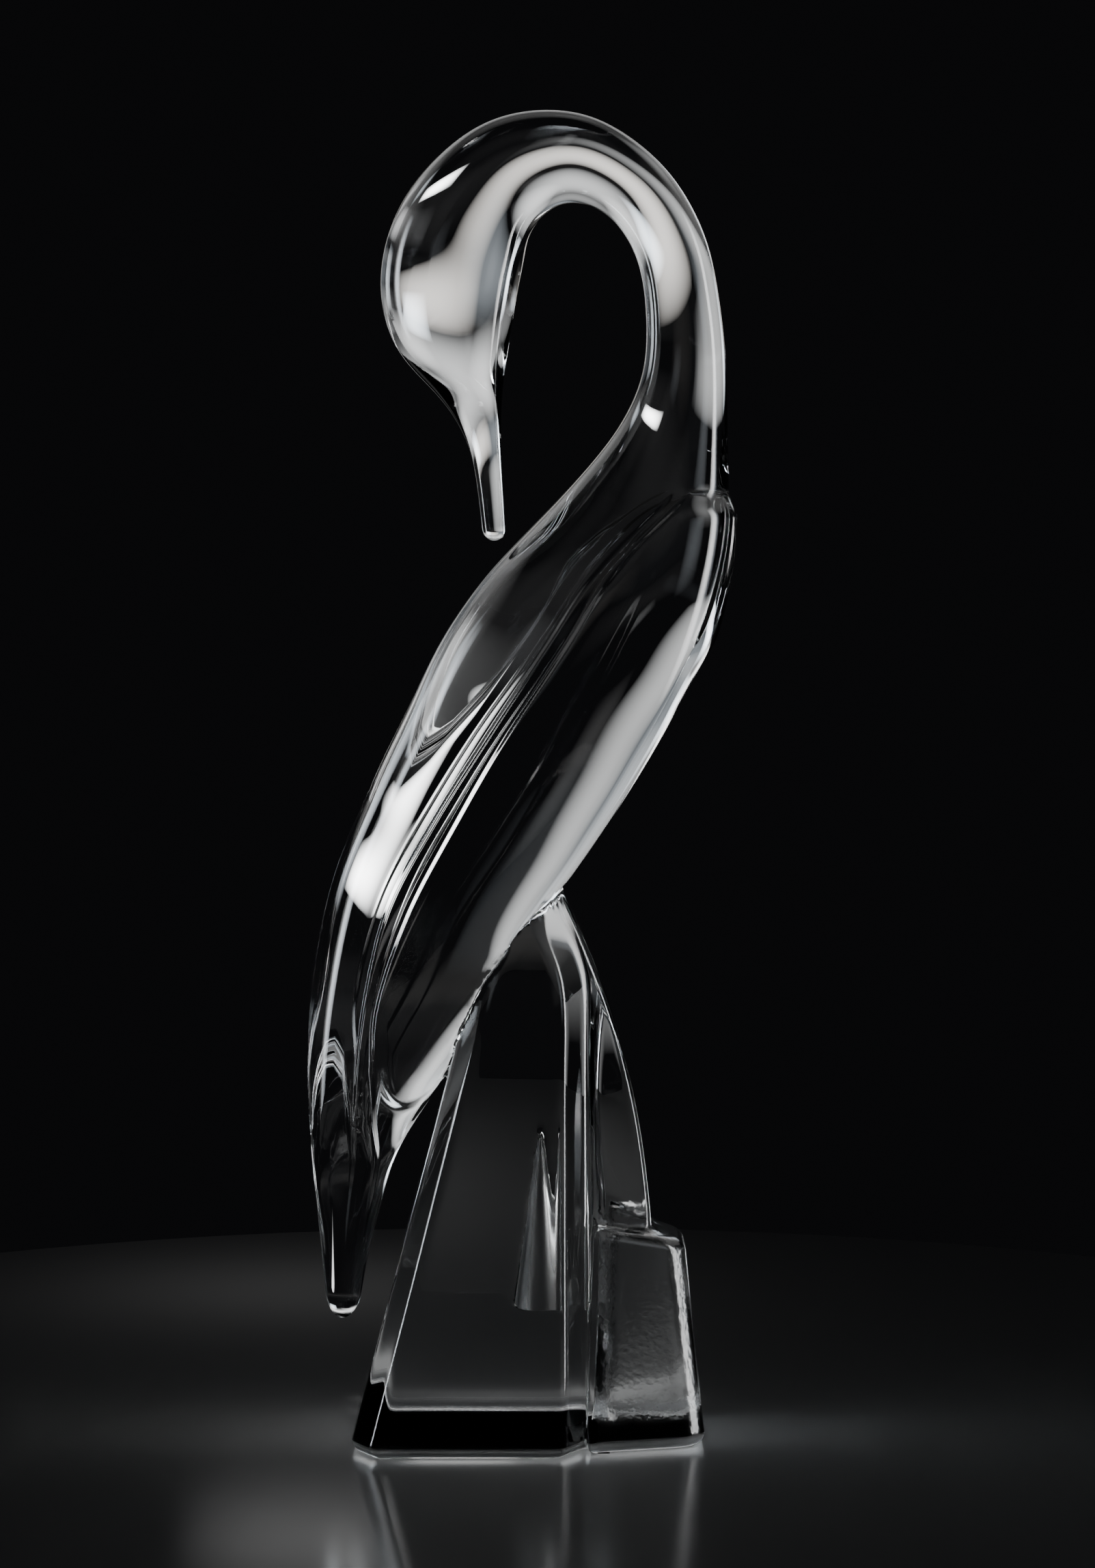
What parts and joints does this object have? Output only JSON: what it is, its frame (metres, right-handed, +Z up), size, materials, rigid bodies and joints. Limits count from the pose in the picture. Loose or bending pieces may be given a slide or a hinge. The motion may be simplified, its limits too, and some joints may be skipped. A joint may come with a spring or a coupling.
{
  "type": "crystal seabird sculpture",
  "caption": "Clear crystal figure of a preening seabird with an arched neck and folded wings, cast with the angular rock it sits on; a shelf or table ornament",
  "frame": {"origin": "on the table, under the middle of the object's length and depth", "axes": "+Z up, +X from the tail to the breast, +Y to the far side of the pictured view"},
  "size_m": [0.0976, 0.0618, 0.2985],
  "materials": {
    "crystal": "clear colourless lead crystal, fire-polished"
  },
  "bodies": {
    "root": {"seabird": "crystal"}
  },
  "joints": []
}
